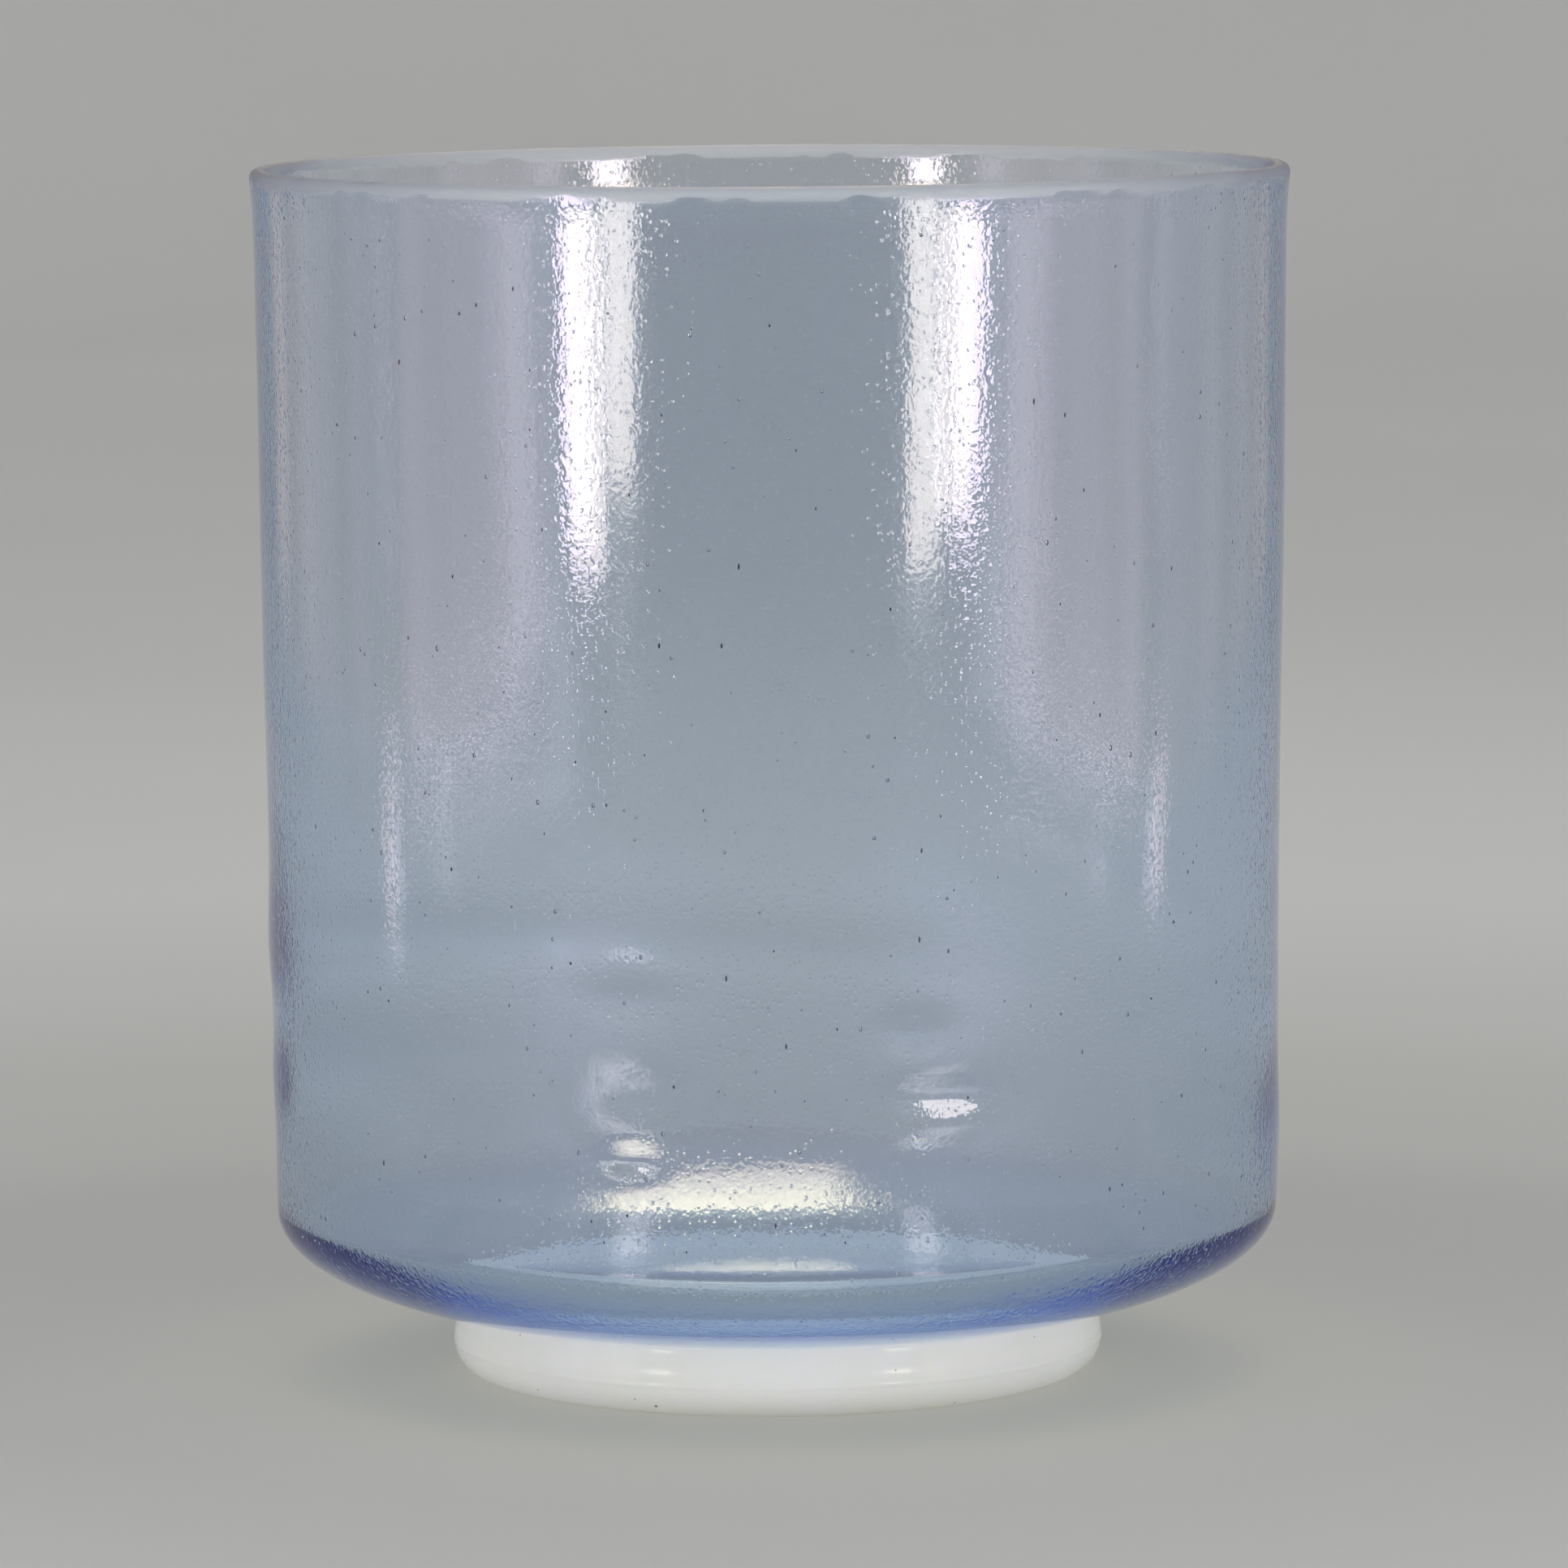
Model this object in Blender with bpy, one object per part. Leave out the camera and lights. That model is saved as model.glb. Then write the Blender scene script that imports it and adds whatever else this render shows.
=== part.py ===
"""Clear fused-quartz singing bowl standing on a round silicone ring.

Two separate pieces: the bowl, one blown and turned vessel with a ground,
rounded rim, and the base ring it rests on, a moulded silicone O-ring.
Metres, +Z up, the surface the ring stands on is z = 0, the bowl's axis is Z.
"""

import math

import bmesh
import bpy
from mathutils import Matrix, Vector

MM = 0.001

# Bowl
RIM_RADIUS = 101.6 * MM  # 8 inch across the lip
TOP_Z = 237.5 * MM  # rim above the table
WALL = 3.65 * MM
FLOOR = 4.3 * MM
BASE_RADIUS = 98.3 * MM  # the straight wall carried down to the underside
LIP_FLARE = 0.45 * MM  # how much the last stretch below the rim opens out
LIP_LENGTH = 14.0 * MM
RIM_ROUND = 2.1 * MM  # height of the rounded, ground edge
RIM_POWER = 2.4
FLAT_RADIUS = 24.0 * MM  # flat middle of the underside
CORNER_HEIGHT = 22.5 * MM
CORNER_POWER = 2.1

# Base ring
RING_OUTER_RADIUS = 64.2 * MM
RING_SECTION = 12.7 * MM  # half-inch cord
RING_LAND = 0.10 * MM  # how far the bottom and top are pressed flat
FLASH_OUT = 0.22 * MM  # moulding line round the middle
FLASH_HALF = 0.35 * MM

GAP = 0.3 * MM  # between the ring and the bowl's underside

BOWL_SEGMENTS = 96
RING_SEGMENTS = 96
CORNER_STEPS = 12
RIM_STEPS = 5
SECTION_STEPS = 24


def clear_scene():
    for obj in list(bpy.data.objects):
        bpy.data.objects.remove(obj, do_unlink=True)


def principled(name, color, roughness, transmission=0.0, ior=1.45, alpha=1.0):
    material = bpy.data.materials.new(name)
    material.use_nodes = True
    shader = material.node_tree.nodes["Principled BSDF"]
    shader.inputs["Base Color"].default_value = (*color, 1.0)
    shader.inputs["Roughness"].default_value = roughness
    shader.inputs["Metallic"].default_value = 0.0
    shader.inputs["Transmission Weight"].default_value = transmission
    shader.inputs["IOR"].default_value = ior
    shader.inputs["Alpha"].default_value = alpha
    material.diffuse_color = (*color, alpha)
    return material


def wall_radius(z, bottom_z):
    """Outer radius of the straight, slightly tapered wall with its flared lip."""
    along = (z - bottom_z) / (TOP_Z - bottom_z)
    radius = BASE_RADIUS + (RIM_RADIUS - LIP_FLARE - BASE_RADIUS) * along
    lip = max(0.0, 1.0 - (TOP_Z - z) / LIP_LENGTH)
    return radius + LIP_FLARE * lip * lip


def outer_profile(bottom_z):
    """(r, z) from the middle of the underside up to where the rim's rounding starts."""
    corner_top = bottom_z + CORNER_HEIGHT
    corner_radius = wall_radius(corner_top, bottom_z)
    points = [(0.0, bottom_z)]
    for i in range(CORNER_STEPS + 1):
        angle = 0.5 * math.pi * i / CORNER_STEPS
        r = FLAT_RADIUS + (corner_radius - FLAT_RADIUS) * math.sin(angle) ** (
            2 / CORNER_POWER
        )
        z = corner_top - CORNER_HEIGHT * max(0.0, math.cos(angle)) ** (2 / CORNER_POWER)
        points.append((r, z))
    for z in (
        0.5 * (corner_top + TOP_Z - LIP_LENGTH),
        TOP_Z - LIP_LENGTH,
        TOP_Z - 0.55 * LIP_LENGTH,
        TOP_Z - RIM_ROUND,
    ):
        points.append((wall_radius(z, bottom_z), z))
    # The widest ring is the one under the rounding, exactly at the stated radius.
    return points[:-1] + [(RIM_RADIUS, TOP_Z - RIM_ROUND)]


def rim_profile():
    """The rounded edge over the wall, from outside to inside, without its two ends."""
    middle = RIM_RADIUS - 0.5 * WALL
    points = []
    for i in range(1, 2 * RIM_STEPS):
        angle = 0.5 * math.pi * i / RIM_STEPS
        c, s = math.cos(angle), math.sin(angle)
        r = middle + 0.5 * WALL * math.copysign(abs(c) ** (2 / RIM_POWER), c)
        z = TOP_Z - RIM_ROUND + RIM_ROUND * s ** (2 / RIM_POWER)
        points.append((r, z))
    return points


def inner_profile(outer):
    """The outer profile moved in by the wall, thicker under the floor, from the rim down to the axis."""
    points = []
    for i in range(1, len(outer)):
        before = Vector(outer[i - 1])
        after = Vector(outer[min(i + 1, len(outer) - 1)])
        along = (after - before).normalized()
        inward = Vector((-along.y, along.x))
        floor_share = abs(inward.y)
        thick = WALL + (FLOOR - WALL) * floor_share
        point = Vector(outer[i]) + inward * thick
        points.append((point.x, point.y))
    points[-1] = (RIM_RADIUS - WALL, TOP_Z - RIM_ROUND)
    points.insert(0, (0.0, outer[0][1] + FLOOR))
    return points[::-1]


def seat_height():
    """Underside height that leaves GAP between the curved underside and the ring's cord."""
    centre_r = RING_OUTER_RADIUS - 0.5 * RING_SECTION
    centre_z = 0.5 * RING_SECTION - RING_LAND
    low, high = 0.0, 3 * RING_SECTION
    for _ in range(60):
        bottom_z = 0.5 * (low + high)
        profile = outer_profile(bottom_z)
        nearest = 1.0
        for (r1, z1), (r2, z2) in zip(profile[:-1], profile[1:]):
            dr, dz = r2 - r1, z2 - z1
            t = ((centre_r - r1) * dr + (centre_z - z1) * dz) / (dr * dr + dz * dz)
            t = min(1.0, max(0.0, t))
            nearest = min(
                nearest, math.hypot(r1 + t * dr - centre_r, z1 + t * dz - centre_z)
            )
        if nearest < 0.5 * RING_SECTION + GAP:
            low = bottom_z
        else:
            high = bottom_z
    return 0.5 * (low + high)


def ring_profile():
    """Closed section of the ring: a round cord pressed flat top and bottom, with its moulding line."""
    radius = 0.5 * RING_SECTION
    centre_r = RING_OUTER_RADIUS - radius
    centre_z = radius - RING_LAND
    height = 2 * centre_z
    points = []
    for i in range(SECTION_STEPS):
        angle = 2 * math.pi * (i + 0.5) / SECTION_STEPS
        r = centre_r + (radius - FLASH_OUT) * math.cos(angle)
        z = centre_z + radius * math.sin(angle)
        if z < RING_LAND or z > height - RING_LAND:
            side = math.copysign(
                math.sqrt(radius**2 - (radius - RING_LAND) ** 2), math.cos(angle)
            )
            r, z = centre_r + side, (0.0 if z < centre_z else height)
        points.append((r, z))
        if i == SECTION_STEPS - 1:
            points.append((RING_OUTER_RADIUS - FLASH_OUT, centre_z - FLASH_HALF))
            points.append((RING_OUTER_RADIUS, centre_z))
            points.append((RING_OUTER_RADIUS - FLASH_OUT, centre_z + FLASH_HALF))
        if i == SECTION_STEPS // 2 - 1:
            inside = centre_r - radius
            points.append((inside + FLASH_OUT, centre_z + FLASH_HALF))
            points.append((inside, centre_z))
            points.append((inside + FLASH_OUT, centre_z - FLASH_HALF))
    return points


def turned(name, profile, closed, segments, material, origin_z):
    """A solid of revolution about Z, with the object's origin on the axis at origin_z."""
    bm = bmesh.new()
    verts = [bm.verts.new((r, 0.0, z - origin_z)) for r, z in profile]
    edges = [bm.edges.new((a, b)) for a, b in zip(verts[:-1], verts[1:])]
    if closed:
        edges.append(bm.edges.new((verts[-1], verts[0])))
    bmesh.ops.spin(
        bm,
        geom=verts + edges,
        cent=(0, 0, 0),
        axis=(0, 0, 1),
        angle=2 * math.pi,
        steps=segments,
        use_merge=True,
        use_duplicate=False,
    )
    bmesh.ops.remove_doubles(bm, verts=bm.verts, dist=1e-6)
    bmesh.ops.recalc_face_normals(bm, faces=bm.faces)
    mesh = bpy.data.meshes.new(name)
    bm.to_mesh(mesh)
    bm.free()
    mesh.shade_smooth()
    mesh.set_sharp_from_angle(angle=math.radians(40))
    mesh.materials.append(material)
    obj = bpy.data.objects.new(name, mesh)
    bpy.context.scene.collection.objects.link(obj)
    obj.matrix_world = Matrix.Translation((0, 0, origin_z))
    return obj


def main():
    clear_scene()
    bottom_z = seat_height()
    outer = outer_profile(bottom_z)
    bowl_profile = outer + rim_profile() + inner_profile(outer)

    quartz = principled(
        "quartz", (0.62, 0.68, 0.74), 0.05, transmission=0.9, ior=1.458, alpha=0.4
    )
    silicone = principled("silicone", (0.78, 0.78, 0.75), 0.45, ior=1.41)

    root = bpy.data.objects.new("singing_bowl", None)
    bpy.context.scene.collection.objects.link(root)

    ring = turned("base_ring", ring_profile(), True, RING_SEGMENTS, silicone, 0.0)
    ring.parent = root
    bowl = turned("bowl", bowl_profile, False, BOWL_SEGMENTS, quartz, bottom_z)
    bowl.parent = root


main()
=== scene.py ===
"""Looks of the clear quartz singing bowl on its silicone ring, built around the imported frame."""

import math

import bmesh
import bpy
import numpy as np
from mathutils import Matrix, Vector


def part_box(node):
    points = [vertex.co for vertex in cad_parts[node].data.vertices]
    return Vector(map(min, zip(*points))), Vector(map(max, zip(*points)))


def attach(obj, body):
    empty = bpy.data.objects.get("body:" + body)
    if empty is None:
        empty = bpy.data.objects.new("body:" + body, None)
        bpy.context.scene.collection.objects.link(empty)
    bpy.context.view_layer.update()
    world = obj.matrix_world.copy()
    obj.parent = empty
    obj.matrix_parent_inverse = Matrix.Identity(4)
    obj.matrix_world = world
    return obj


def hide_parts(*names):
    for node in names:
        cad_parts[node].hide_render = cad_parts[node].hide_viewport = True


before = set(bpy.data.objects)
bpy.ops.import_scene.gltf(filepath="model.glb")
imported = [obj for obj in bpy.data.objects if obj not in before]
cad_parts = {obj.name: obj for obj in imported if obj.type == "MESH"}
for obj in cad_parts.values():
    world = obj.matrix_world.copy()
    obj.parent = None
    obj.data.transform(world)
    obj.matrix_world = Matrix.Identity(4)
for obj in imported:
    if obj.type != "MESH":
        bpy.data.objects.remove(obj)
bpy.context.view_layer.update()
MM = 0.001
rng = np.random.default_rng(20)
scene = bpy.context.scene

# ---------------------------------------------------------------- sizes, the bowl's and ring's extent taken from the frame, the rest given
bowl_low, bowl_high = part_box("bowl")
ring_low, ring_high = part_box("base_ring")
TOP = bowl_high.z
BOTTOM = bowl_low.z
RIM_RADIUS = bowl_high.x
RING_RADIUS = ring_high.x
RING_HEIGHT = ring_high.z

WALL = 3.65 * MM
FLOOR = 4.85 * MM
BASE_RADIUS = RIM_RADIUS - 3.3 * MM
LIP_FLARE = 0.45 * MM
LIP_LENGTH = 14.0 * MM
RIM_ROUND = 2.1 * MM
RIM_POWER = 2.4
FLAT_RADIUS = 24.0 * MM
CORNER_HEIGHT = 22.5 * MM
CORNER_POWER = 2.1
RING_SECTION = 12.7 * MM


def smoothstep(a, b, x):
    t = np.clip((np.asarray(x, float) - a) / (b - a), 0.0, 1.0)
    return t * t * (3 - 2 * t)


# ---------------------------------------------------------------- camera
def make_camera():
    distance = 1.7965
    height = 0.31155
    pitch = 0.1086
    roll = 0.0070
    data = bpy.data.cameras.new("camera")
    data.sensor_width = 36.0
    data.lens = 11271.5 * 1.0035 / 1932 * 36.0
    data.clip_start = 0.05
    data.clip_end = 60.0
    data.dof.use_dof = False
    cam = bpy.data.objects.new("camera", data)
    scene.collection.objects.link(cam)
    cam.matrix_world = (
        Matrix.Translation((0.0020, -distance, height))
        @ Matrix.Rotation(math.radians(90) - pitch, 4, "X")
        @ Matrix.Rotation(-roll, 4, "Z")
    )
    scene.camera = cam
    return cam


make_camera()


# ---------------------------------------------------------------- node helpers
def new_material(name):
    material = bpy.data.materials.new(name)
    material.use_nodes = True
    tree = material.node_tree
    tree.nodes.clear()
    out = tree.nodes.new("ShaderNodeOutputMaterial")
    return material, tree, out


def node(tree, kind, **settings):
    made = tree.nodes.new(kind)
    for key, value in settings.items():
        if key == "inputs":
            for socket, v in value.items():
                made.inputs[socket].default_value = v
        else:
            setattr(made, key, value)
    return made


def link(tree, a, b):
    tree.links.new(a, b)


# ---------------------------------------------------------------- materials
ABSORB = (52.5, 31.0, 7.5)  # per metre, red green blue


def volume_absorption(tree, out):
    density = max(ABSORB) * 1.02
    vol = node(
        tree,
        "ShaderNodeVolumeAbsorption",
        inputs={
            "Color": tuple(1 - a / density for a in ABSORB) + (1.0,),
            "Density": density,
        },
    )
    link(tree, vol.outputs[0], out.inputs["Volume"])


def quartz_material():
    material, tree, out = new_material("quartz_clear")
    shader = node(
        tree,
        "ShaderNodeBsdfPrincipled",
        inputs={
            "Base Color": (1, 1, 1, 1),
            "Roughness": 0.0,
            "IOR": 1.458,
            "Transmission Weight": 1.0,
            "Specular Tint": (1.65, 1.45, 2.25, 1.0),
        },
    )
    link(tree, shader.outputs[0], out.inputs["Surface"])
    volume_absorption(tree, out)

    coord = node(tree, "ShaderNodeTexCoord")
    # orange peel of the drawn outer skin, a little longer up the wall than across it
    drawn = node(tree, "ShaderNodeVectorMath", operation="MULTIPLY")
    drawn.inputs[1].default_value = (1.0, 1.0, 0.85)
    link(tree, coord.outputs["Object"], drawn.inputs[0])
    grain = node(
        tree,
        "ShaderNodeTexNoise",
        noise_dimensions="3D",
        inputs={"Scale": 950.0, "Detail": 1.5, "Roughness": 0.5},
    )
    link(tree, drawn.outputs[0], grain.inputs["Vector"])
    # the ground rim is much coarser and matt
    frost = node(
        tree,
        "ShaderNodeTexNoise",
        noise_dimensions="3D",
        inputs={"Scale": 1400.0, "Detail": 3.0, "Roughness": 0.7},
    )
    link(tree, coord.outputs["Object"], frost.inputs["Vector"])
    rim = node(tree, "ShaderNodeAttribute", attribute_name="rim")
    skin = node(tree, "ShaderNodeAttribute", attribute_name="skin")
    # rounded dimples among it
    cells = node(
        tree,
        "ShaderNodeTexVoronoi",
        feature="F1",
        inputs={"Scale": 1050.0, "Randomness": 1.0},
    )
    link(tree, drawn.outputs[0], cells.inputs["Vector"])
    dimple = node(
        tree,
        "ShaderNodeMapRange",
        interpolation_type="SMOOTHSTEP",
        inputs={"From Min": 0.0, "From Max": 0.46, "To Min": 1.0, "To Max": 0.0},
    )
    link(tree, cells.outputs["Distance"], dimple.inputs["Value"])
    pick = node(tree, "ShaderNodeSeparateColor")
    link(tree, cells.outputs["Color"], pick.inputs[0])
    deep = node(
        tree,
        "ShaderNodeMapRange",
        interpolation_type="SMOOTHSTEP",
        inputs={"From Min": 0.45, "From Max": 1.0, "To Min": 0.0, "To Max": 3.2},
    )
    link(tree, pick.outputs[0], deep.inputs["Value"])
    dimples = node(tree, "ShaderNodeMath", operation="MULTIPLY")
    link(tree, dimple.outputs["Result"], dimples.inputs[0])
    link(tree, deep.outputs["Result"], dimples.inputs[1])
    peel = node(tree, "ShaderNodeMath", operation="MULTIPLY_ADD", inputs={1: 2.2})
    link(tree, grain.outputs["Fac"], peel.inputs[0])
    link(tree, dimples.outputs[0], peel.inputs[2])
    h1 = node(tree, "ShaderNodeMath", operation="MULTIPLY")
    link(tree, peel.outputs[0], h1.inputs[0])
    link(tree, skin.outputs["Fac"], h1.inputs[1])
    h2 = node(tree, "ShaderNodeMath", operation="MULTIPLY")
    link(tree, frost.outputs["Fac"], h2.inputs[0])
    link(tree, rim.outputs["Fac"], h2.inputs[1])
    h2b = node(tree, "ShaderNodeMath", operation="MULTIPLY", inputs={1: 4.4})
    link(tree, h2.outputs[0], h2b.inputs[0])
    total = node(tree, "ShaderNodeMath", operation="ADD")
    link(tree, h1.outputs[0], total.inputs[0])
    link(tree, h2b.outputs[0], total.inputs[1])
    bump = node(
        tree,
        "ShaderNodeBump",
        inputs={"Strength": 1.0, "Distance": 0.000021},
    )
    link(tree, total.outputs[0], bump.inputs["Height"])
    link(tree, bump.outputs["Normal"], shader.inputs["Normal"])
    rough = node(
        tree,
        "ShaderNodeMapRange",
        inputs={"From Min": 0.0, "From Max": 1.0, "To Min": 0.0, "To Max": 0.55},
    )
    link(tree, rim.outputs["Fac"], rough.inputs["Value"])
    scuff = node(tree, "ShaderNodeAttribute", attribute_name="scuff")
    matt = node(tree, "ShaderNodeMath", operation="MULTIPLY_ADD", inputs={1: 0.08})
    link(tree, scuff.outputs["Fac"], matt.inputs[0])
    link(tree, rough.outputs["Result"], matt.inputs[2])
    link(tree, matt.outputs[0], shader.inputs["Roughness"])
    clear = node(
        tree,
        "ShaderNodeMapRange",
        inputs={"From Min": 0.0, "From Max": 1.0, "To Min": 1.0, "To Max": 0.86},
    )
    link(tree, rim.outputs["Fac"], clear.inputs["Value"])
    link(tree, clear.outputs["Result"], shader.inputs["Transmission Weight"])
    return material


def bubble_material():
    material, tree, out = new_material("quartz_bubble")
    shader = node(
        tree,
        "ShaderNodeBsdfPrincipled",
        inputs={
            "Base Color": (1, 1, 1, 1),
            "Roughness": 0.0,
            "IOR": 1.458,
            "Transmission Weight": 1.0,
        },
    )
    link(tree, shader.outputs[0], out.inputs["Surface"])
    return material


def silicone_material():
    material, tree, out = new_material("silicone_white")
    coord = node(tree, "ShaderNodeTexCoord")
    shader = node(
        tree,
        "ShaderNodeBsdfPrincipled",
        inputs={
            "Roughness": 0.17,
            "IOR": 1.41,
            "Subsurface Weight": 0.9,
            "Subsurface Radius": (1.0, 0.95, 0.8),
            "Subsurface Scale": 0.007,
            "Specular IOR Level": 0.5,
        },
    )
    link(tree, shader.outputs[0], out.inputs["Surface"])
    cloud = node(
        tree,
        "ShaderNodeTexNoise",
        inputs={"Scale": 60.0, "Detail": 3.0, "Roughness": 0.5},
    )
    link(tree, coord.outputs["Object"], cloud.inputs["Vector"])
    base = node(tree, "ShaderNodeValToRGB")
    base.color_ramp.elements[0].position = 0.3
    base.color_ramp.elements[0].color = (0.90, 0.90, 0.868, 1)
    base.color_ramp.elements[1].position = 0.7
    base.color_ramp.elements[1].color = (0.945, 0.948, 0.925, 1)
    link(tree, cloud.outputs["Fac"], base.inputs["Fac"])
    # dust specks
    cells = node(
        tree,
        "ShaderNodeTexVoronoi",
        feature="F1",
        inputs={"Scale": 260.0, "Randomness": 1.0},
    )
    link(tree, coord.outputs["Object"], cells.inputs["Vector"])
    spot = node(
        tree,
        "ShaderNodeMapRange",
        inputs={"From Min": 0.05, "From Max": 0.10, "To Min": 1.0, "To Max": 0.0},
    )
    link(tree, cells.outputs["Distance"], spot.inputs["Value"])
    sep = node(tree, "ShaderNodeSeparateColor")
    link(tree, cells.outputs["Color"], sep.inputs[0])
    few = node(tree, "ShaderNodeMath", operation="GREATER_THAN", inputs={1: 0.82})
    link(tree, sep.outputs[0], few.inputs[0])
    mask = node(tree, "ShaderNodeMath", operation="MULTIPLY")
    link(tree, spot.outputs["Result"], mask.inputs[0])
    link(tree, few.outputs[0], mask.inputs[1])
    mix = node(tree, "ShaderNodeMix", data_type="RGBA")
    mix.inputs[7].default_value = (0.20, 0.17, 0.13, 1)
    link(tree, mask.outputs[0], mix.inputs[0])
    link(tree, base.outputs["Color"], mix.inputs[6])
    link(tree, mix.outputs[2], shader.inputs["Base Color"])
    fine = node(
        tree,
        "ShaderNodeTexNoise",
        inputs={"Scale": 700.0, "Detail": 3.0, "Roughness": 0.6},
    )
    link(tree, coord.outputs["Object"], fine.inputs["Vector"])
    bump = node(
        tree, "ShaderNodeBump", inputs={"Strength": 0.5, "Distance": 0.00003}
    )
    link(tree, fine.outputs["Fac"], bump.inputs["Height"])
    link(tree, bump.outputs["Normal"], shader.inputs["Normal"])
    return material


# ---------------------------------------------------------------- bowl mesh
def wall_radius(z):
    along = (z - BOTTOM) / (TOP - BOTTOM)
    radius = BASE_RADIUS + (RIM_RADIUS - LIP_FLARE - BASE_RADIUS) * along
    lip = max(0.0, 1.0 - (TOP - z) / LIP_LENGTH)
    return radius + LIP_FLARE * lip * lip


def outer_points():
    """(r, z) from the middle of the underside up to the rim's rounding."""
    corner_top = BOTTOM + CORNER_HEIGHT
    corner_radius = wall_radius(corner_top)
    points = [(r, BOTTOM) for r in np.linspace(0, FLAT_RADIUS, 12)[:-1]]
    steps = 72
    for i in range(steps + 1):
        angle = 0.5 * math.pi * i / steps
        r = FLAT_RADIUS + (corner_radius - FLAT_RADIUS) * math.sin(angle) ** (
            2 / CORNER_POWER
        )
        z = corner_top - CORNER_HEIGHT * max(0.0, math.cos(angle)) ** (2 / CORNER_POWER)
        points.append((r, z))
    top = TOP - RIM_ROUND
    count = int(round((top - corner_top) / (1.25 * MM)))
    for i in range(1, count + 1):
        z = corner_top + (top - corner_top) * i / count
        points.append((wall_radius(z), z))
    return np.array(points)


def profile():
    """The whole closed section, with which side each point is on: 0 outside, 1 rim, 2 inside."""
    outer = outer_points()
    n = len(outer)
    side = [0] * n
    # the lip's widest ring is RIM_RADIUS exactly, eased in over the last few millimetres
    ease = smoothstep(TOP - 9 * MM, TOP - RIM_ROUND, outer[:, 1])
    outer[:, 0] += ease * (RIM_RADIUS - outer[-1, 0])
    middle = RIM_RADIUS - 0.5 * WALL
    rim = []
    steps = 14
    for i in range(1, 2 * steps):
        angle = 0.5 * math.pi * i / steps
        c, s = math.cos(angle), math.sin(angle)
        r = middle + 0.5 * WALL * math.copysign(abs(c) ** (2 / RIM_POWER), c)
        z = TOP - RIM_ROUND + RIM_ROUND * s ** (2 / RIM_POWER)
        rim.append((r, z))
    side += [1] * len(rim)
    inner = []
    for i in range(1, n):
        before = outer[i - 1]
        after = outer[min(i + 1, n - 1)]
        along = (after - before) / np.linalg.norm(after - before)
        inward = np.array((-along[1], along[0]))
        thick = WALL + (FLOOR - WALL) * abs(inward[1])
        inner.append(outer[i] + inward * thick)
    inner[-1] = np.array((RIM_RADIUS - WALL, TOP - RIM_ROUND))
    inner.insert(0, np.array((0.0, BOTTOM + FLOOR)))
    inner = np.array(inner)[::-1]
    side += [2] * len(inner)
    return np.vstack([outer, rim, inner]), np.array(side)


def waves(phi, z, count, turns, rises, seed, power=1.0):
    """A smooth random height field on the wall, periodic round the bowl, about -1 to 1."""
    r = np.random.default_rng(seed)
    total = np.zeros(np.broadcast(phi, z).shape)
    weight = 0.0
    for _ in range(count):
        m = int(r.integers(turns[0], turns[1] + 1))
        k = 2 * math.pi / r.uniform(*rises)
        a = r.uniform(0.5, 1.0)
        total += a * np.cos(
            m * phi + k * z * r.choice((-1, 1)) + r.uniform(0, 2 * math.pi)
        )
        weight += a * a
    return total / math.sqrt(weight) * 0.7


def bump_at(phi, z, phi0, z0, dphi, dz):
    d = np.angle(np.exp(1j * (phi - phi0)))
    return np.exp(-((d / dphi) ** 2) - ((z - z0) / dz) ** 2)


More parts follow.
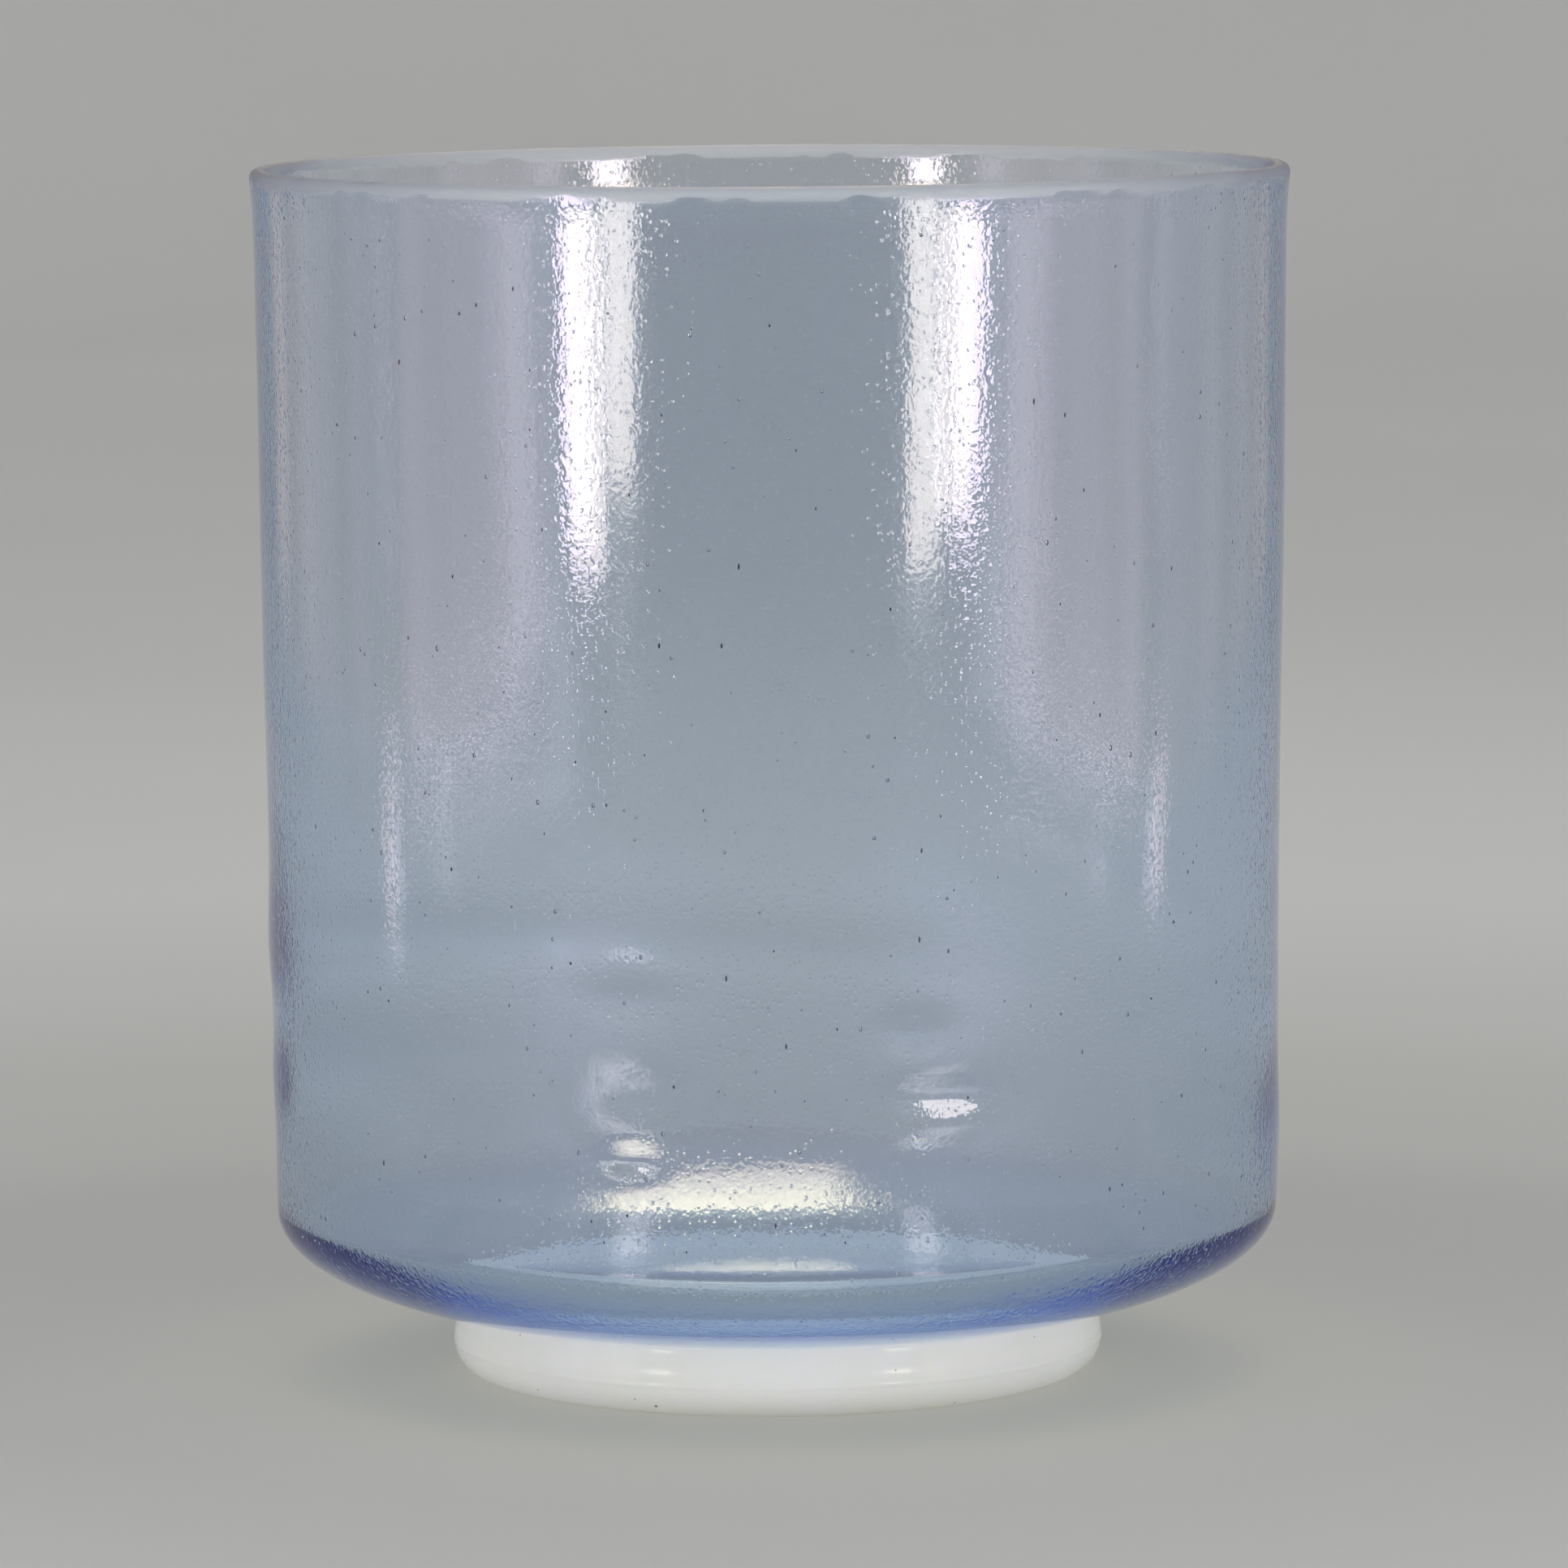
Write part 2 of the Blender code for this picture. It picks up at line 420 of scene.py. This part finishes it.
def bowl_mesh(segments=448):
    points, side = profile()
    count = len(points)
    phi = np.arange(segments) * 2 * math.pi / segments
    tangent = np.gradient(points, axis=0)
    tangent /= np.linalg.norm(tangent, axis=1)[:, None]
    normal = np.stack([tangent[:, 1], -tangent[:, 0]], -1)  # outwards
    r = points[:, 0][:, None]
    z = points[:, 1][:, None]
    p = phi[None, :]
    height = z - BOTTOM
    lower = 1 - smoothstep(80 * MM, 150 * MM, height)
    base_fade = smoothstep(3 * MM, 40 * MM, height)
    top_fade = 1 - smoothstep(TOP - BOTTOM - 30 * MM, TOP - BOTTOM - 2 * MM, height)
    drift = waves(p, z, 6, (2, 5), (90 * MM, 220 * MM), 3)
    ripple = waves(p, z, 16, (1, 9), (16 * MM, 40 * MM), 11)
    soft = waves(p, z, 12, (2, 12), (30 * MM, 90 * MM), 5)
    inner_ripple = waves(p, z, 14, (1, 6), (22 * MM, 48 * MM), 17)
    outside = (side == 0)[:, None]
    inside = (side == 2)[:, None]
    shift = np.zeros((count, segments))
    shift += 0.16 * MM * drift * base_fade * top_fade * (outside | inside) * np.where(
        outside, 1.0, -1.0
    )
    shift += outside * base_fade * top_fade * (
        0.012 * MM * soft + 0.018 * MM * ripple * lower
    )
    shift += inside * base_fade * top_fade * (
        0.02 * MM * soft + 0.065 * MM * inner_ripple * lower
    )
    # hand-worked swellings of the outer wall
    shift += (
        outside
        * base_fade
        * (
            0.50 * MM * bump_at(p, z, math.pi, 88 * MM, 0.30, 12 * MM)
            + 0.40 * MM * bump_at(p, z, 0.0, 47 * MM, 0.35, 12 * MM)
        )
    )
    front = -0.5 * math.pi
    for azimuth, level, wide, tall, deep in (
        (front - 0.29, 85, 0.10, 4.2, 0.42),
        (front - 0.28, 68, 0.09, 4.6, 0.52),
        (front - 0.29, 55, 0.06, 3.2, 0.62),
        (front + 0.28, 79, 0.07, 4.0, 0.66),
        (front + 0.33, 67, 0.11, 3.4, 0.62),
    ):
        shift += (
            inside
            * deep
            * MM
            * bump_at(p, z, azimuth, level * MM, wide, tall * MM)
        )
    # two drawn bands that climb round the back of the wall
    for start_at, end_at, z_start, z_end, tall, deep in (
        (1.05 * math.pi, 0.32 * math.pi, 86, 66, 6.0, 0.46),
        (1.10 * math.pi, 0.60 * math.pi, 62, 50, 7.0, 0.36),
    ):
        along = (p - start_at) / (end_at - start_at)
        level = (z_start + (z_end - z_start) * along) * MM
        window = smoothstep(0.0, 0.12, along) * (1 - smoothstep(0.75, 1.0, along))
        shift += (
            outside
            * base_fade
            * deep
            * MM
            * window
            * np.exp(-(((z - level) / (tall * MM)) ** 2))
        )
    rr = r + normal[:, :1] * shift
    zz = z + normal[:, 1:] * shift
    rr = np.minimum(rr, RIM_RADIUS)
    x = rr * np.cos(p)
    y = rr * np.sin(p)
    # poles are single points
    ring_rows = [i for i in range(count) if 0 < i < count - 1]
    verts = [(0.0, 0.0, float(points[0, 1]))]
    start = {}
    for i in ring_rows:
        start[i] = len(verts)
        verts.extend(zip(x[i], y[i], zz[i]))
    last = len(verts)
    verts.append((0.0, 0.0, float(points[-1, 1])))
    faces = []
    first = start[ring_rows[0]]
    for j in range(segments):
        k = (j + 1) % segments
        faces.append((0, first + k, first + j))
    for a, b in zip(ring_rows[:-1], ring_rows[1:]):
        sa, sb = start[a], start[b]
        for j in range(segments):
            k = (j + 1) % segments
            faces.append((sa + j, sa + k, sb + k, sb + j))
    end = start[ring_rows[-1]]
    for j in range(segments):
        k = (j + 1) % segments
        faces.append((last, end + j, end + k))
    mesh = bpy.data.meshes.new("quartz_bowl")
    mesh.from_pydata(verts, [], faces)
    mesh.update()
    mesh.shade_smooth()
    rim = np.zeros(len(verts), np.float32)
    skin = np.zeros(len(verts), np.float32)
    scuff = np.zeros(len(verts), np.float32)
    skin[0] = 1
    skin[last] = 0.25
    # the ground edge was worked by hand, so its lower limit wanders
    wander = 0.55 * MM * waves(phi, 0.0 * phi, 14, (9, 95), (1.0, 2.0), 23)
    for i in ring_rows:
        s = start[i]
        level = points[i, 1]
        amount = smoothstep(TOP - 2.6 * MM, TOP - 1.9 * MM, level + wander)
        rim[s : s + segments] = amount
        corner = 1 - float(smoothstep(10 * MM, 30 * MM, level - BOTTOM))
        lower_wall = 1 - float(smoothstep(55 * MM, 120 * MM, level - BOTTOM))
        lip = float(smoothstep(TOP - 10 * MM, TOP - 7 * MM, level))
        if side[i] == 0:
            flank = np.abs(np.cos(phi)) ** 4
            worked = 1.0 - 0.35 * lower_wall + corner * (1.5 * flank - 0.45)
            scuff[s : s + segments] = flank * (
                1 - float(smoothstep(14 * MM, 24 * MM, level - BOTTOM))
            )
        else:
            worked = 0.045 + 0.20 * lower_wall * (1 - corner) + 0.6 * lip
        skin[s : s + segments] = worked * (1 - amount)
    for name, data in (("rim", rim), ("skin", skin), ("scuff", scuff)):
        attribute = mesh.attributes.new(name, "FLOAT", "POINT")
        attribute.data.foreach_set("value", data)
    return mesh


def add_object(name, mesh, body, material):
    obj = bpy.data.objects.new(name, mesh)
    scene.collection.objects.link(obj)
    mesh.materials.clear()
    mesh.materials.append(material)
    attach(obj, body)
    return obj


quartz = quartz_material()
bowl = add_object("quartz_bowl", bowl_mesh(), "bowl", quartz)
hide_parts("bowl")


# ---------------------------------------------------------------- bubbles sealed in the wall
def bubble_mesh(count=760):
    bm = bmesh.new()
    for _ in range(count):
        phi = rng.uniform(0, 2 * math.pi)
        z = TOP - 8 * MM - (TOP - BOTTOM - 40 * MM) * rng.uniform(0, 1)
        depth = rng.uniform(0.9, WALL / MM - 0.9) * MM
        r = wall_radius(z) - depth
        size = 0.16 * MM * (1 + 1.2 * rng.power(0.35))
        mat = (
            Matrix.Rotation(phi, 4, "Z")
            @ Matrix.Translation((r, 0, z))
            @ Matrix.Diagonal((0.9, 1.0, 1.0 + rng.uniform(0, 0.8), 1.0))
        )
        made = bmesh.ops.create_icosphere(bm, subdivisions=2, radius=size, matrix=mat)
    bmesh.ops.reverse_faces(bm, faces=bm.faces)
    mesh = bpy.data.meshes.new("wall_bubbles")
    bm.to_mesh(mesh)
    bm.free()
    mesh.shade_smooth()
    return mesh


bubbles = add_object("wall_bubbles", bubble_mesh(), "bowl", bubble_material())


def speck_material():
    material, tree, out = new_material("quartz_speck")
    shader = node(
        tree, "ShaderNodeBsdfPrincipled", inputs={"Roughness": 0.6, "IOR": 1.45}
    )
    link(tree, shader.outputs[0], out.inputs["Surface"])
    coord = node(tree, "ShaderNodeTexCoord")
    mottle = node(
        tree,
        "ShaderNodeTexNoise",
        inputs={"Scale": 90.0, "Detail": 1.0, "Roughness": 0.5},
    )
    link(tree, coord.outputs["Object"], mottle.inputs["Vector"])
    shade = node(tree, "ShaderNodeValToRGB")
    shade.color_ramp.elements[0].position = 0.35
    shade.color_ramp.elements[0].color = (0.012, 0.012, 0.022, 1)
    shade.color_ramp.elements[1].position = 0.65
    shade.color_ramp.elements[1].color = (0.11, 0.11, 0.17, 1)
    link(tree, mottle.outputs["Fac"], shade.inputs["Fac"])
    link(tree, shade.outputs["Color"], shader.inputs["Base Color"])
    return material


def speck_mesh(count=260):
    """Fine dark inclusions just under the outer skin, more of them low on the wall."""
    local = np.random.default_rng(31)
    bm = bmesh.new()
    for _ in range(count):
        phi = local.uniform(0, 2 * math.pi)
        up = local.uniform(0, 1) ** 1.5
        z = BOTTOM + 26 * MM + (TOP - BOTTOM - 44 * MM) * up
        r = wall_radius(z) - local.uniform(1.0, 1.8) * MM
        size = 0.13 * MM * (1 + 0.9 * local.power(0.4))
        mat = (
            Matrix.Rotation(phi, 4, "Z")
            @ Matrix.Translation((r, 0, z))
            @ Matrix.Diagonal((0.8, 0.9, 1.2 + local.uniform(0, 1.5), 1.0))
        )
        bmesh.ops.create_icosphere(bm, subdivisions=2, radius=size, matrix=mat)
    mesh = bpy.data.meshes.new("wall_specks")
    bm.to_mesh(mesh)
    bm.free()
    mesh.shade_smooth()
    return mesh


specks = add_object("wall_specks", speck_mesh(), "bowl", speck_material())


# ---------------------------------------------------------------- base ring
def underside():
    """(radii, heights) of the bowl's outer skin near the ring, for the silicone pressed against it."""
    outer = outer_points()
    near = outer[:, 0] < 90 * MM
    return outer[near, 0], outer[near, 1]


def ring_mesh(around=360, section=112):
    radius = 0.5 * RING_SECTION
    land = 0.5 * (RING_SECTION - RING_HEIGHT)
    cr = RING_RADIUS - radius
    cz = radius - land
    under_r, under_z = underside()
    verts, faces = [], []
    local = np.random.default_rng(4)
    phases = local.uniform(0, 2 * math.pi, 6)
    for i in range(around):
        phi = 2 * math.pi * i / around
        wob = sum(
            math.cos((k + 2) * phi + phases[k]) / (k + 2) for k in range(6)
        )
        flash = 0.17 + 0.05 * math.cos(9 * phi + phases[0]) + 0.03 * math.cos(
            23 * phi + phases[1]
        )
        for j in range(section):
            a = 2 * math.pi * (j + 0.5) / section
            # more points near the moulding line
            lead = 0.22 * math.sin(2 * a)
            a2 = a - lead
            c, sn = math.cos(a2), math.sin(a2)
            power = 2.7 if sn > 0 else 2.0
            rr = (radius - 0.22 * MM) * math.copysign(abs(c) ** (2 / power), c)
            zz = radius * math.copysign(abs(sn) ** (2 / power), sn)
            zz = max(-cz, min(cz, zz))
            line = math.exp(-((zz - 0.10 * MM * wob) / (0.28 * MM)) ** 2)
            rr += math.copysign(flash * MM * line, rr)
            height = cz + zz
            if sn > 0:
                # the top is squeezed flat against the glass by the bowl's weight
                pressed = 1 - float(smoothstep(5.1 * MM, 5.9 * MM, abs(rr)))
                seat = float(np.interp(cr + rr, under_r, under_z)) + 0.07 * MM
                height += pressed * (seat - height)
            verts.append(
                ((cr + rr) * math.cos(phi), (cr + rr) * math.sin(phi), height)
            )
    for i in range(around):
        k = (i + 1) % around
        for j in range(section):
            m = (j + 1) % section
            faces.append(
                (
                    i * section + j,
                    k * section + j,
                    k * section + m,
                    i * section + m,
                )
            )
    mesh = bpy.data.meshes.new("silicone_ring")
    mesh.from_pydata(verts, [], faces)
    mesh.update()
    mesh.shade_smooth()
    return mesh


ring = add_object(
    "silicone_ring", ring_mesh(), "base_ring", silicone_material()
)
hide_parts("base_ring")


# ---------------------------------------------------------------- stage and light
def stage_mesh():
    """A round floor that sweeps up into a wall all the way round."""
    flat, bend, wall = 3.4, 1.2, 3.2
    rows = [(r, 0.0) for r in (0.02, 0.2, 0.5, 1.0, 1.8, 2.6, flat)]
    for i in range(1, 17):
        a = 0.5 * math.pi * i / 16
        rows.append((flat + bend * math.sin(a), bend * (1 - math.cos(a))))
    rows.append((flat + bend, wall))
    segments = 128
    bm = bmesh.new()
    centre = bm.verts.new((0, 0, 0))
    rings = []
    for r, z in rows:
        rings.append(
            [
                bm.verts.new(
                    (
                        r * math.cos(2 * math.pi * j / segments),
                        r * math.sin(2 * math.pi * j / segments),
                        z,
                    )
                )
                for j in range(segments)
            ]
        )
    for j in range(segments):
        k = (j + 1) % segments
        bm.faces.new((centre, rings[0][j], rings[0][k]))
        for a, b in zip(rings[:-1], rings[1:]):
            bm.faces.new((a[j], b[j], b[k], a[k]))
    mesh = bpy.data.meshes.new("studio_floor")
    bm.to_mesh(mesh)
    bm.free()
    mesh.shade_smooth()
    return mesh


# painted light and shade on the paper sweep, by distance from its middle, in metres: lighter under the
# bowl to lift its shadow, a darker painted shadow round it, and lighter far off where the lamps' light
# falls away
PAINTED_FLOOR_LIGHT = (
    (0.00, 0.485),
    (0.09, 0.470),
    (0.15, 0.414),
    (0.20, 0.402),
    (0.26, 0.404),
    (0.32, 0.441),
    (0.45, 0.478),
    (0.80, 0.640),
    (1.10, 0.688),
    (1.60, 0.702),
    (2.40, 0.715),
    (3.40, 0.742),
    (4.00, 0.768),
    (4.70, 0.812),
)


def stage_material():
    material, tree, out = new_material("studio_paper")
    coord = node(tree, "ShaderNodeTexCoord")
    shader = node(
        tree,
        "ShaderNodeBsdfPrincipled",
        inputs={"Roughness": 0.9, "Specular IOR Level": 0.1},
    )
    link(tree, shader.outputs[0], out.inputs["Surface"])
    blot = node(
        tree,
        "ShaderNodeTexNoise",
        inputs={"Scale": 2.2, "Detail": 2.0, "Roughness": 0.5},
    )
    link(tree, coord.outputs["Object"], blot.inputs["Vector"])
    flat = node(tree, "ShaderNodeVectorMath", operation="MULTIPLY")
    flat.inputs[1].default_value = (1, 1, 0)
    link(tree, coord.outputs["Object"], flat.inputs[0])
    far = node(tree, "ShaderNodeVectorMath", operation="LENGTH")
    link(tree, flat.outputs[0], far.inputs[0])
    along = node(
        tree,
        "ShaderNodeMapRange",
        inputs={"From Min": 0.0, "From Max": 5.0, "To Min": 0.0, "To Max": 1.0},
    )
    link(tree, far.outputs["Value"], along.inputs["Value"])
    # this ramp lays the painted light and shade from the table above onto the paper
    ramp = node(tree, "ShaderNodeValToRGB")
    stops = ramp.color_ramp.elements
    for k, (distance, light) in enumerate(PAINTED_FLOOR_LIGHT):
        stop = stops[k] if k < 2 else stops.new(distance / 5.0)
        stop.position = distance / 5.0
        # the warmer tint under and round the ring, out to 0.14 m, is painted shade
        warm_shade_blue = 0.94 if distance < 0.14 else 0.985 if distance < 0.6 else 1.0
        stop.color = (light, light * 1.004, light * warm_shade_blue, 1)
    link(tree, along.outputs["Result"], ramp.inputs["Fac"])
    tone = node(
        tree,
        "ShaderNodeMapRange",
        inputs={"From Min": 0.3, "From Max": 0.7, "To Min": 0.985, "To Max": 1.015},
    )
    link(tree, blot.outputs["Fac"], tone.inputs["Value"])
    # the paper's faint random blotches times the painted light and shade
    paper_and_painted_light = node(tree, "ShaderNodeVectorMath", operation="SCALE")
    link(tree, ramp.outputs["Color"], paper_and_painted_light.inputs[0])
    link(tree, tone.outputs["Result"], paper_and_painted_light.inputs["Scale"])
    link(tree, paper_and_painted_light.outputs[0], shader.inputs["Base Color"])
    return material


floor = bpy.data.objects.new("studio_floor", stage_mesh())
floor.data.materials.append(stage_material())
scene.collection.objects.link(floor)


def reflector(name, corners, color, strength, seen="both", folds=0.0):
    """A card that only a reflection shows: it is clear to the camera and to light passing through.

    seen: "outer" shows in the first skin only, "inner" only in reflections from within the glass.
    """
    mesh = bpy.data.meshes.new(name)
    mesh.from_pydata(corners, [], [tuple(range(len(corners)))])
    mesh.update()
    obj = bpy.data.objects.new(name, mesh)
    scene.collection.objects.link(obj)
    material, tree, out = new_material(name)
    path = node(tree, "ShaderNodeLightPath")
    glow = node(
        tree,
        "ShaderNodeEmission",
        inputs={"Color": (*color, 1), "Strength": strength},
    )
    if folds:
        coord = node(tree, "ShaderNodeTexCoord")
        across = node(tree, "ShaderNodeVectorMath", operation="MULTIPLY")
        across.inputs[1].default_value = (1, 1, 0)
        link(tree, coord.outputs["Object"], across.inputs[0])
        cloth = node(
            tree,
            "ShaderNodeTexNoise",
            inputs={"Scale": 6.0, "Detail": 3.0, "Roughness": 0.6},
        )
        link(tree, across.outputs[0], cloth.inputs["Vector"])
        shade = node(
            tree,
            "ShaderNodeMapRange",
            inputs={
                "From Min": 0.32,
                "From Max": 0.68,
                "To Min": strength * (1 - folds),
                "To Max": strength * (1 + folds),
            },
        )
        link(tree, cloth.outputs["Fac"], shade.inputs["Value"])
        link(tree, shade.outputs["Result"], glow.inputs["Strength"])
    clear = node(tree, "ShaderNodeBsdfTransparent")
    mix = node(tree, "ShaderNodeMixShader")
    test = node(tree, "ShaderNodeMath", operation="GREATER_THAN", inputs={1: 0.5})
    link(tree, path.outputs["Glossy Depth"], test.inputs[0])
    # the paper right under a card doesn't mirror it
    reach = node(tree, "ShaderNodeMath", operation="GREATER_THAN", inputs={1: 0.35})
    link(tree, path.outputs["Ray Length"], reach.inputs[0])
    away = node(tree, "ShaderNodeMath", operation="MULTIPLY")
    link(tree, test.outputs[0], away.inputs[0])
    link(tree, reach.outputs[0], away.inputs[1])
    shown = away.outputs[0]
    if seen != "both":
        side = node(
            tree,
            "ShaderNodeMath",
            operation="LESS_THAN" if seen == "outer" else "GREATER_THAN",
            inputs={1: 0.5},
        )
        link(tree, path.outputs["Transmission Depth"], side.inputs[0])
        both = node(tree, "ShaderNodeMath", operation="MULTIPLY")
        link(tree, shown, both.inputs[0])
        link(tree, side.outputs[0], both.inputs[1])
        shown = both.outputs[0]
    link(tree, shown, mix.inputs[0])
    link(tree, clear.outputs[0], mix.inputs[1])
    link(tree, glow.outputs[0], mix.inputs[2])
    link(tree, mix.outputs[0], out.inputs["Surface"])
    material.cycles.emission_sampling = "NONE"
    mesh.materials.append(material)
    obj.visible_camera = False
    obj.visible_diffuse = False
    obj.visible_shadow = False
    obj.visible_volume_scatter = False
    return obj


def upright(name, x0, y0, x1, y1, z0, z1, color, strength, seen="both", folds=0.0):
    return reflector(
        name,
        [(x0, y0, z0), (x1, y1, z0), (x1, y1, z1), (x0, y0, z1)],
        color,
        strength,
        seen,
        folds,
    )


# two tall strip softboxes in front, left and right
for name, x0, x1, z0, color, strength, seen in (
    ("strip_right", 0.403, 0.517, 0.112, (1, 0.94, 0.80), 12.6, "outer"),
    ("strip_left", -0.390, -0.489, 0.109, (1, 0.94, 0.80), 12.6, "outer"),
    ("strip_right_inner", 0.368, 0.485, 0.113, (1, 0.83, 0.47), 13.6, "inner"),
    ("strip_left_inner", -0.372, -0.480, 0.107, (1, 0.83, 0.47), 13.6, "inner"),
):
    upright(name, x0, -0.524, x1, -0.514, z0, 0.62, color, strength, seen)
# the unlit room in front, between them
for name, z0, seen in (("dark_room", -0.02, "outer"), ("dark_room_inner", 0.20, "inner")):
    upright(name, -1.15, -1.25, 1.15, -1.25, z0, 2.0, (0.90, 0.68, 1.0), 0.27, seen)
# the open sides of the light tent: diffuser sheets, their posts and their lit lower edges
for way in (-1, 1):
    upright(
        "tent_front", way * 1.15, -0.96, way * 1.14, -0.05, 0.0, 2.0,
        (1.0, 0.78, 0.66), 0.96, folds=0.4,
    )
    upright(
        "tent_back", way * 1.14, -0.05, way * 1.05, 1.40, 0.0, 2.0,
        (1.0, 0.84, 0.70), 0.60, folds=0.4,
    )
    upright(
        "tent_post", way * 1.130, -0.665, way * 1.130, -0.856, 0.0, 2.0,
        (1.0, 0.90, 0.70), 1.85,
    )
    reflector(
        "tent_edge",
        [
            (way * 1.150, -0.96, 0.004),
            (way * 1.140, -0.05, 0.004),
            (way * 1.085, -0.05, 0.004),
            (way * 1.085, -0.96, 0.004),
        ],
        (1.0, 0.84, 0.66),
        4.0,
    )
    reflector(
        "tent_foot",
        [
            (way * 1.140, 0.035, 0.004),
            (way * 0.740, -0.015, 0.004),
            (way * 0.740, 0.035, 0.004),
            (way * 1.140, 0.100, 0.004),
        ],
        (1.0, 0.86, 0.68),
        3.2,
    )
# the overhead panel
reflector(
    "overhead_panel",
    [(-0.080, 0.45, 1.1), (0.200, 0.45, 1.1), (0.080, 1.60, 1.1), (-0.035, 1.60, 1.1)],
    (1.0, 0.76, 0.42),
    7.8,
)


def area_light(name, location, target, size, size_y, power, color=(1, 1, 1)):
    data = bpy.data.lights.new(name, "AREA")
    data.shape = "RECTANGLE"
    data.size = size
    data.size_y = size_y
    data.energy = power
    data.color = color
    obj = bpy.data.objects.new(name, data)
    scene.collection.objects.link(obj)
    direction = Vector(target) - Vector(location)
    obj.matrix_world = Matrix.Translation(location) @ direction.to_track_quat(
        "-Z", "Y"
    ).to_matrix().to_4x4()
    obj.visible_camera = False
    return obj


# what those softboxes light
lamps = [
    area_light("key_left", (-0.43, -0.52, 0.36), (0, 0, 0.08), 0.13, 0.53, 1.5),
    area_light("key_right", (0.43, -0.52, 0.36), (0, 0, 0.08), 0.13, 0.53, 1.5),
    area_light("overhead", (0.1, 0.2, 1.1), (0, 0, 0), 0.7, 1.1, 3.4),
    area_light("front_low", (0.0, -1.7, 0.22), (0, 0, 0.05), 2.4, 0.35, 0.05),
    area_light("side_left", (-1.3, -0.1, 0.25), (0, 0, 0.02), 1.2, 0.4, 1.25),
    area_light("side_right", (1.3, -0.1, 0.25), (0, 0, 0.02), 1.2, 0.4, 1.25),
]
lamps += [
    area_light("back_low", (0.0, 1.7, 0.22), (0, 0, 0.05), 2.4, 0.35, 1.6),
    area_light("paper_bounce", (0.0, -0.7, -0.4), (0, 0, 0), 1.4, 0.4, 0.8),
]
# the low lamps light the object and leave the paper even
lit = bpy.data.collections.new("lit_object")
for piece in (bowl, ring):
    lit.objects.link(piece)
for lamp in lamps[3:]:
    lamp.light_linking.receiver_collection = lit
for lamp in lamps:
    lamp.visible_glossy = False
    lamp.visible_transmission = False
    lamp.data.use_shadow = False

world = bpy.data.worlds.new("studio_air")
scene.world = world
world.use_nodes = True
world.node_tree.nodes["Background"].inputs["Color"].default_value = (1.0, 1.0, 0.99, 1)
world.node_tree.nodes["Background"].inputs["Strength"].default_value = 0.60

scene.view_settings.view_transform = "Standard"
scene.view_settings.look = "None"
scene.view_settings.exposure = 0.0
scene.view_settings.gamma = 1.0
scene.cycles.max_bounces = 64
scene.cycles.transmission_bounces = 48
scene.cycles.glossy_bounces = 48
scene.cycles.transparent_max_bounces = 16
scene.cycles.sample_clamp_indirect = 40.0
